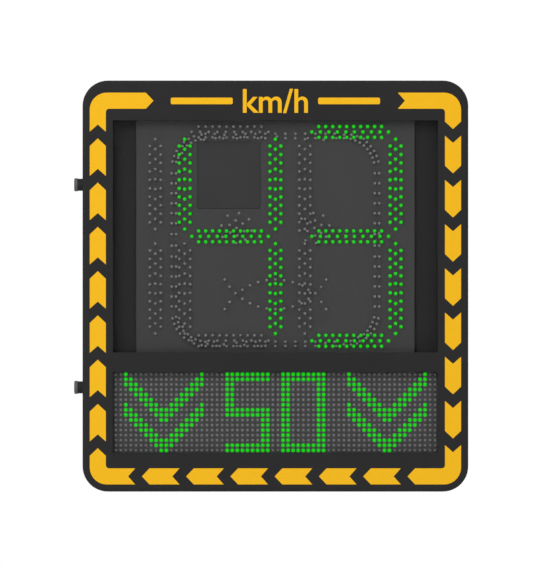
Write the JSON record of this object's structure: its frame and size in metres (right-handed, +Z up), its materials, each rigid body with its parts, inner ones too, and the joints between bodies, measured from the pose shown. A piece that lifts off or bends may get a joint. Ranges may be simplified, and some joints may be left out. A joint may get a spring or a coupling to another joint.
{
  "type": "radar speed sign",
  "caption": "Roadside speed sign: a dark rounded door with an amber arrow border, green lamp digits and a lamp matrix, hinged on a shallow housing with rear rails.",
  "frame": {"origin": "middle of the four fixing holes, on the rails' rear faces", "axes": "+Z up the sign, +X to the right seen from the front, +Y out of the back; the front faces -Y"},
  "size_m": [0.777, 0.1604, 0.81],
  "materials": {
    "housing_moulding": "moulded polycarbonate, dark grey, fine grain",
    "door_moulding": "moulded polycarbonate, dark grey, fine grain",
    "rail_aluminium": "extruded and anodised",
    "zinc_steel": "zinc-plated steel fasteners",
    "bracket_steel": "folded zinc-plated sheet",
    "arrow_film": "amber reflective film",
    "clear_pane": "clear polycarbonate, matt-coated",
    "seal_rubber": "black EPDM",
    "carrier_paint": "powder-coated black sheet",
    "digit_board_mask": "dark grey solder mask",
    "green_board": "green solder mask",
    "lamp_lit": "lit green lamp",
    "lamp_unlit": "clear lamp, unlit",
    "module_moulding": "matt black louvred moulding",
    "radar_cover_plastic": "moulded radome",
    "sensor_case": "moulded case",
    "lock_cap": "grey moulded lock head",
    "lock_collar": "dark moulded collar",
    "lock_steel": "nickel-plated steel",
    "battery_case": "ABS battery case",
    "case_plastic": "moulded grey case",
    "module_aluminium": "finned extrusion",
    "terminal_plastic": "pale terminal moulding",
    "black_nylon": "black nylon"
  },
  "bodies": {
    "housing": {"rear_housing": "housing_moulding", "upper_rail": "rail_aluminium", "lower_rail": "rail_aluminium", "rail_bolts": "zinc_steel", "rail_nuts": "zinc_steel", "upper_hinge_leaf": "bracket_steel", "lower_hinge_leaf": "bracket_steel", "hinge_pins": "zinc_steel", "housing_hinge_screws": "zinc_steel", "keepers": "bracket_steel", "keeper_screws": "zinc_steel", "battery": "battery_case", "battery_tray": "bracket_steel", "battery_strap": "bracket_steel", "controller_case": "case_plastic", "controller_cover": "case_plastic", "controller_board": "green_board", "power_module": "module_aluminium", "terminal_strip": "terminal_plastic", "cable_gland": "black_nylon", "gland_nut": "black_nylon", "vent_plug": "black_nylon"},
    "door": {"front_frame": "door_moulding", "arrow_films": "arrow_film", "upper_window": "clear_pane", "lower_window": "clear_pane", "upper_window_seal": "seal_rubber", "lower_window_seal": "seal_rubber", "window_clips": "bracket_steel", "clip_screws": "zinc_steel", "door_seal": "seal_rubber", "display_carrier": "carrier_paint", "carrier_screws": "zinc_steel", "digit_board": "digit_board_mask", "board_standoffs": "zinc_steel", "lit_digit_lamps": "lamp_lit", "unlit_digit_lamps": "lamp_unlit", "face_lamps": "lamp_unlit", "left_matrix_frame": "module_moulding", "right_matrix_frame": "module_moulding", "left_matrix_board": "green_board", "right_matrix_board": "green_board", "lit_matrix_lamps": "lamp_lit", "unlit_matrix_lamps": "lamp_unlit", "radar_sensor": "sensor_case", "radar_cover": "radar_cover_plastic", "radar_bracket": "bracket_steel", "door_hinge_leaves": "bracket_steel", "door_hinge_screws": "zinc_steel", "lock_bodies": "lock_cap", "lock_collars": "lock_collar", "lock_nuts": "zinc_steel"},
    "upper_lock": {"upper_lock_plug": "lock_steel", "upper_cam": "bracket_steel", "upper_cam_screw": "zinc_steel"},
    "lower_lock": {"lower_lock_plug": "lock_steel", "lower_cam": "bracket_steel", "lower_cam_screw": "zinc_steel"}
  },
  "joints": [
    {"name": "door_hinge", "type": "hinge", "parent": "housing", "child": "door", "pos_m": [0.363, -0.11, 0], "axis": [0, 0, 1], "range_deg": [0, 110]},
    {"name": "upper_lock_turn", "type": "hinge", "parent": "door", "child": "upper_lock", "pos_m": [-0.37, -0.133, 0.2], "axis": [1, 0, 0], "range_deg": [0, 90]},
    {"name": "lower_lock_turn", "type": "hinge", "parent": "door", "child": "lower_lock", "pos_m": [-0.37, -0.133, -0.2], "axis": [1, 0, 0], "range_deg": [0, 90]}
  ]
}
